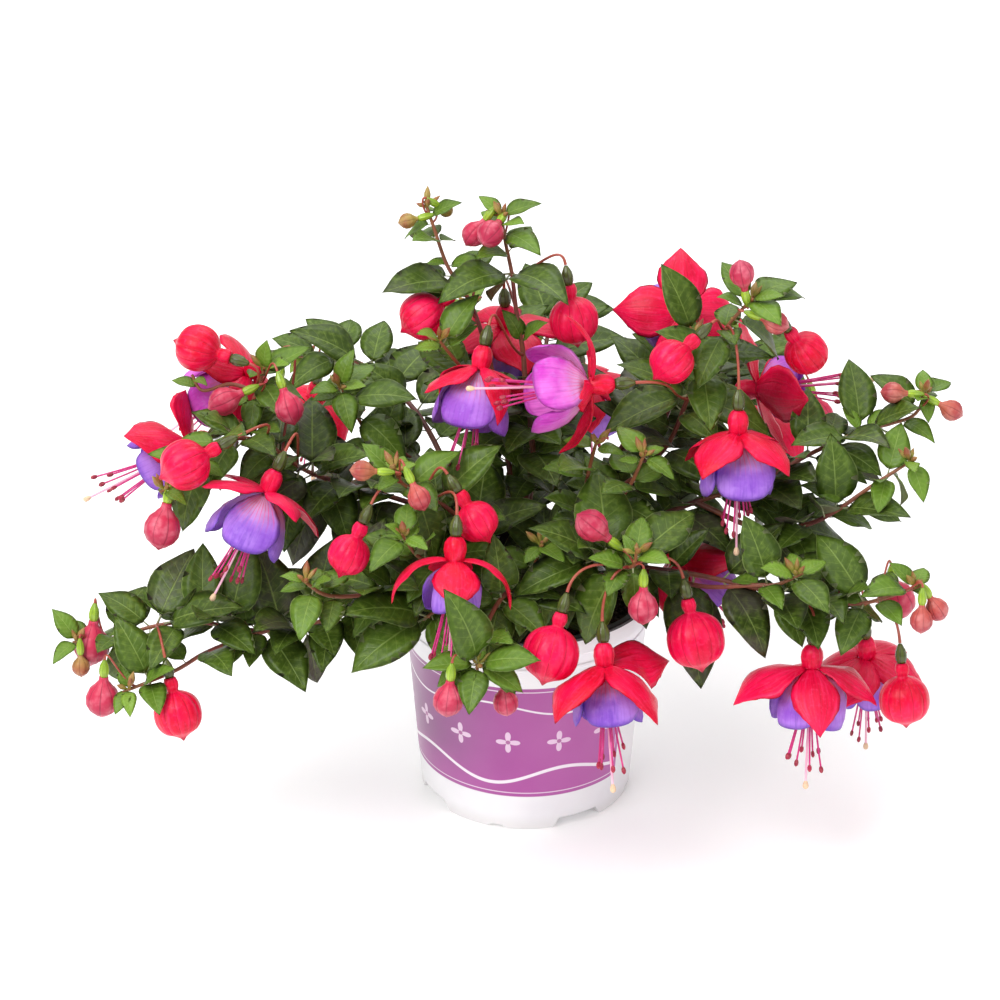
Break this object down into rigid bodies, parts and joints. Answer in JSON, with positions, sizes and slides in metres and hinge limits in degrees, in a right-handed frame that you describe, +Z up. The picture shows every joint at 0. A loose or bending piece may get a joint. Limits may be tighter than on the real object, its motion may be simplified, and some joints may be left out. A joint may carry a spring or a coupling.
{
  "type": "potted trailing fuchsia",
  "caption": "Trailing fuchsia shrub with hanging red and violet flowers and round buds, growing in a standing round nursery pot.",
  "frame": {"origin": "centre of the pot's foot, on the ground", "axes": "+X to the right and -Y towards the viewer in the front view, where the blooms hang over the pot's printed panel; +Z up"},
  "size_m": [0.406, 0.2986, 0.2883],
  "materials": {
    "pot": "satin, white with a printed violet panel and a black rim and inside",
    "soil": null,
    "foliage": null,
    "calyx": "waxy satin",
    "corolla": "soft velvety",
    "bud": "waxy satin"
  },
  "bodies": {
    "root": {"bloom_back_left_calyx": "calyx", "bloom_back_left_corolla": "corolla", "bloom_back_middle_calyx": "calyx", "bloom_back_middle_corolla": "corolla", "bloom_back_right_calyx": "calyx", "bloom_back_right_corolla": "corolla", "bloom_centre_low_calyx": "calyx", "bloom_centre_low_corolla": "corolla", "bloom_centre_right_calyx": "calyx", "bloom_centre_right_corolla": "corolla", "bloom_front_left_calyx": "calyx", "bloom_front_left_corolla": "corolla", "bloom_front_right_calyx": "calyx", "bloom_front_right_corolla": "corolla", "bloom_left_edge_calyx": "calyx", "bloom_left_edge_corolla": "corolla", "bloom_left_front_calyx": "calyx", "bloom_left_front_corolla": "corolla", "bloom_left_rear_calyx": "calyx", "bloom_left_rear_corolla": "corolla", "bloom_low_rear_calyx": "calyx", "bloom_low_rear_corolla": "corolla", "bloom_low_right_calyx": "calyx", "bloom_low_right_corolla": "corolla", "bloom_middle_top_calyx": "calyx", "bloom_middle_top_corolla": "corolla", "bloom_rear_top_calyx": "calyx", "bloom_rear_top_corolla": "corolla", "bloom_right_crown_calyx": "calyx", "bloom_right_crown_corolla": "corolla", "bloom_right_front_calyx": "calyx", "bloom_right_front_corolla": "corolla", "bloom_right_rear_calyx": "calyx", "bloom_right_rear_corolla": "corolla", "bud_front_left": "bud", "bud_front_middle": "bud", "bud_front_right": "bud", "bud_left_low": "bud", "bud_left_middle": "bud", "bud_left_top": "bud", "bud_low_centre": "bud", "bud_low_right": "bud", "bud_right_crown": "bud", "bud_right_edge": "bud", "bud_top_left": "bud", "bud_top_right": "bud", "pot": "pot", "shoot_back_left": "foliage", "shoot_back_middle": "foliage", "shoot_back_right": "foliage", "shoot_front_centre": "foliage", "shoot_front_left": "foliage", "shoot_front_right": "foliage", "shoot_left_high": "foliage", "shoot_left_low": "foliage", "shoot_right_low": "foliage", "shoot_right_side": "foliage", "shoot_right_top": "foliage", "shoot_tall_pair": "foliage", "soil": "soil"}
  },
  "joints": []
}
